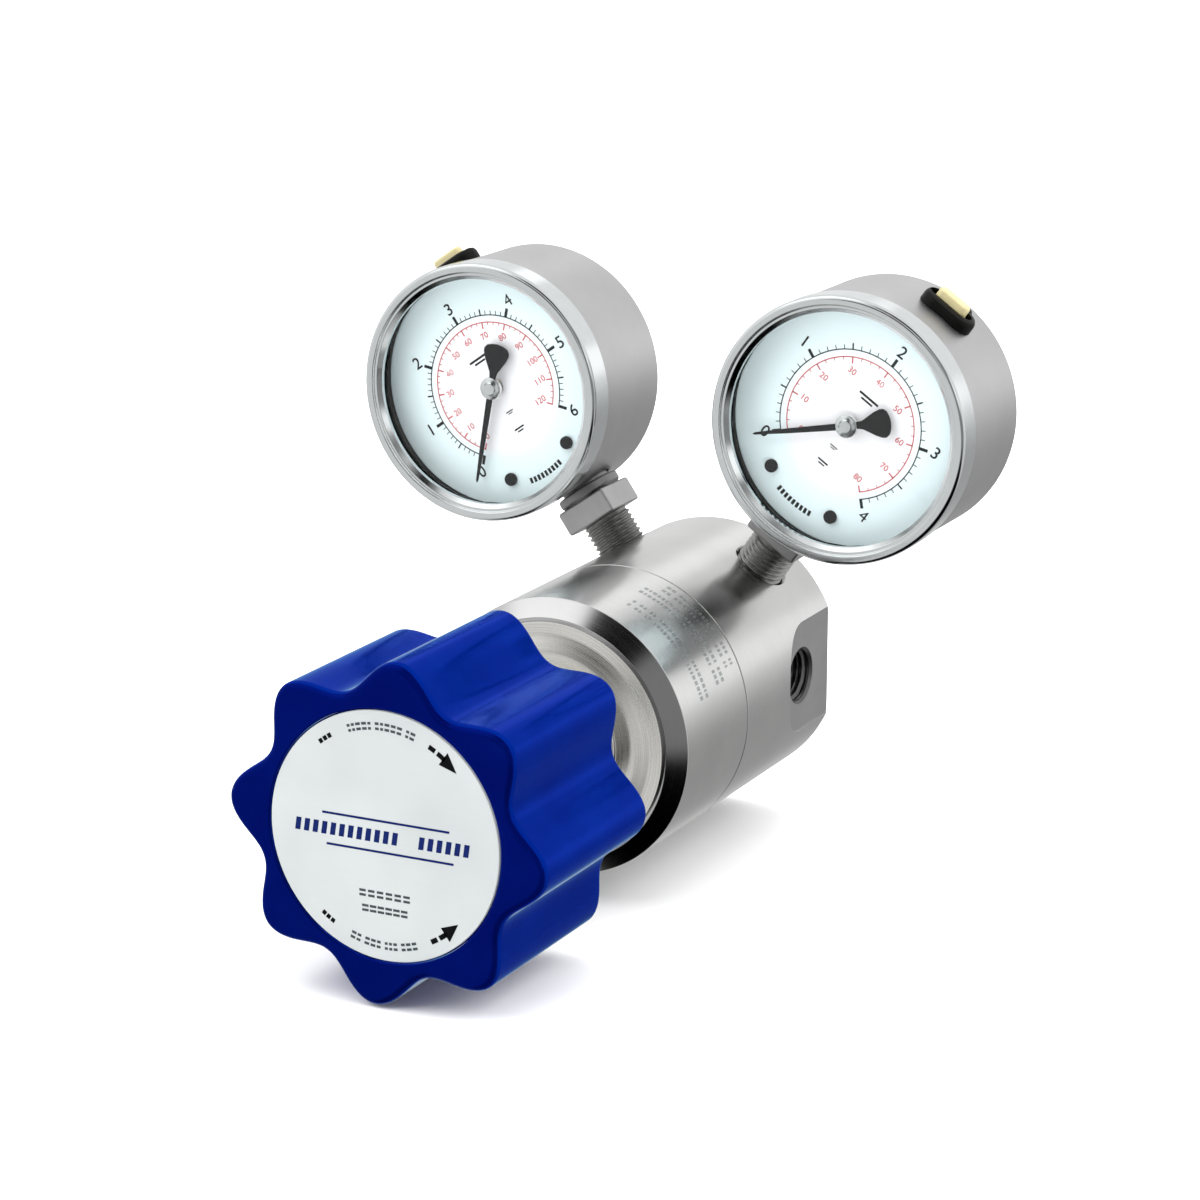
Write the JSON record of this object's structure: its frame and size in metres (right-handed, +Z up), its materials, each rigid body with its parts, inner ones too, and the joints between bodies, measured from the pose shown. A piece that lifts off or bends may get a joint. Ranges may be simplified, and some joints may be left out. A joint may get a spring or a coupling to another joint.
{
  "type": "pressure reducing valve",
  "caption": "Piston-sensed pressure reducing valve: a steel cylinder with side ports, a lobed hand knob on its axis and pressure gauges standing in a V above it.",
  "frame": {"origin": "centre of the valve body's flat rear face", "axes": "+Y along the main axis, out of the rear face, with the knob facing -Y; +Z up between the gauges; +X towards the outlet port"},
  "size_m": [0.1684, 0.1782, 0.1474],
  "materials": {
    "stainless": "turned and polished",
    "spring_steel": "drawn wire",
    "brass": "machined",
    "black_rubber": "moulded",
    "blue_plastic": "glossy moulded",
    "label_silver": "satin printed plate",
    "white_ptfe": "machined",
    "seat_polymer": "machined",
    "sintered_filter": "sintered",
    "gauge_steel": "satin",
    "bezel_steel": "polished",
    "clear_window": "clear",
    "dial_face": "matt printed",
    "black_enamel": "satin",
    "cream_plastic": "moulded"
  },
  "bodies": {
    "housing": {"valve_body": "stainless", "bonnet": "stainless", "range_spring": "spring_steel", "seat_retainer": "stainless", "retainer_oring": "black_rubber", "valve_seat": "seat_polymer", "poppet_spring": "spring_steel", "inlet_filter": "sintered_filter", "filter_clip": "spring_steel", "left_gauge_case": "gauge_steel", "left_gauge_bezel": "bezel_steel", "left_gauge_window": "clear_window", "left_gauge_window_seal": "black_rubber", "left_gauge_dial": "dial_face", "left_gauge_dial_screw_left": "black_enamel", "left_gauge_dial_screw_right": "black_enamel", "left_gauge_movement_frame": "brass", "left_gauge_bourdon_tube": "brass", "left_gauge_stem": "gauge_steel", "left_gauge_vent_plug": "black_rubber", "right_gauge_case": "gauge_steel", "right_gauge_bezel": "bezel_steel", "right_gauge_window": "clear_window", "right_gauge_window_seal": "black_rubber", "right_gauge_dial": "dial_face", "right_gauge_dial_screw_left": "black_enamel", "right_gauge_dial_screw_right": "black_enamel", "right_gauge_movement_frame": "brass", "right_gauge_bourdon_tube": "brass", "right_gauge_stem": "gauge_steel", "right_gauge_vent_plug": "black_rubber"},
    "button_body": {"spring_button": "stainless", "thrust_ball": "stainless"},
    "knob_body": {"adjusting_screw": "stainless", "screw_circlip": "spring_steel", "knob": "blue_plastic", "knob_washer": "stainless", "knob_screw": "stainless", "knob_label": "label_silver"},
    "piston_body": {"piston": "brass", "piston_oring": "black_rubber", "piston_backup_ring": "white_ptfe"},
    "poppet_body": {"poppet": "stainless"},
    "left_pointer_body": {"left_gauge_pointer": "black_enamel", "left_gauge_pinion": "brass"},
    "left_sector_body": {"left_gauge_sector": "brass"},
    "left_link_body": {"left_gauge_link": "brass"},
    "left_lever_body": {"left_gauge_vent_lever": "cream_plastic"},
    "right_pointer_body": {"right_gauge_pointer": "black_enamel", "right_gauge_pinion": "brass"},
    "right_sector_body": {"right_gauge_sector": "brass"},
    "right_link_body": {"right_gauge_link": "brass"},
    "right_lever_body": {"right_gauge_vent_lever": "cream_plastic"}
  },
  "joints": [
    {"name": "screw_travel", "type": "slide", "parent": "housing", "child": "button_body", "axis": [0, 1, 0], "range_m": [0, 0.0075], "deforming": ["range_spring"]},
    {"name": "knob_turn", "type": "hinge", "parent": "button_body", "child": "knob_body", "pos_m": [0, -0.15, 0], "axis": [0, 1, 0], "range_deg": [0, 1800]},
    {"name": "piston_travel", "type": "slide", "parent": "housing", "child": "piston_body", "axis": [0, 1, 0], "range_m": [0, 0.0008], "stiffness_N_per_m": 3000, "springref_m": -0.0005},
    {"name": "poppet_travel", "type": "slide", "parent": "housing", "child": "poppet_body", "axis": [0, 1, 0], "range_m": [0, 0.00081], "deforming": ["poppet_spring"]},
    {"name": "left_pointer_turn", "type": "hinge", "parent": "housing", "child": "left_pointer_body", "pos_m": [-0.05023, -0.034, 0.07134], "axis": [0, 1, 0], "range_deg": [0, 270], "stiffness_Nm_per_rad": 0.0001, "springref_deg": -20.05},
    {"name": "left_sector_turn", "type": "hinge", "parent": "housing", "child": "left_sector_body", "pos_m": [-0.0439, -0.0255, 0.06235], "axis": [0, -1, 0], "range_deg": [0, 27.05]},
    {"name": "left_link_turn", "type": "hinge", "parent": "left_sector_body", "child": "left_link_body", "pos_m": [-0.04044, -0.027, 0.05744], "axis": [0, -1, 0], "range_deg": [-27.05, 0]},
    {"name": "left_vent_lever_turn", "type": "hinge", "parent": "housing", "child": "left_lever_body", "pos_m": [-0.07423, -0.0175, 0.09847], "axis": [0, -1, 0], "range_deg": [0, 80]},
    {"name": "right_pointer_turn", "type": "hinge", "parent": "housing", "child": "right_pointer_body", "pos_m": [0.05023, -0.034, 0.07134], "axis": [0, 1, 0], "range_deg": [0, 270], "stiffness_Nm_per_rad": 0.0001, "springref_deg": -20.05},
    {"name": "right_sector_turn", "type": "hinge", "parent": "housing", "child": "right_sector_body", "pos_m": [0.0439, -0.0255, 0.06235], "axis": [0, -1, 0], "range_deg": [0, 27.05]},
    {"name": "right_link_turn", "type": "hinge", "parent": "right_sector_body", "child": "right_link_body", "pos_m": [0.04044, -0.027, 0.05744], "axis": [0, -1, 0], "range_deg": [-27.05, 0]},
    {"name": "right_vent_lever_turn", "type": "hinge", "parent": "housing", "child": "right_lever_body", "pos_m": [0.06769, -0.0175, 0.10308], "axis": [0, -1, 0], "range_deg": [0, 80]}
  ],
  "couplings": [
    {"joint": "screw_travel", "follows": "knob_turn", "m_per_rad": 0.0002387},
    {"joint": "poppet_travel", "follows": "piston_travel", "ratio": 1},
    {"joint": "left_sector_turn", "follows": "left_pointer_turn", "ratio": 0.1},
    {"joint": "left_link_turn", "follows": "left_pointer_turn", "ratio": -0.1},
    {"joint": "right_sector_turn", "follows": "right_pointer_turn", "ratio": 0.1},
    {"joint": "right_link_turn", "follows": "right_pointer_turn", "ratio": -0.1}
  ]
}
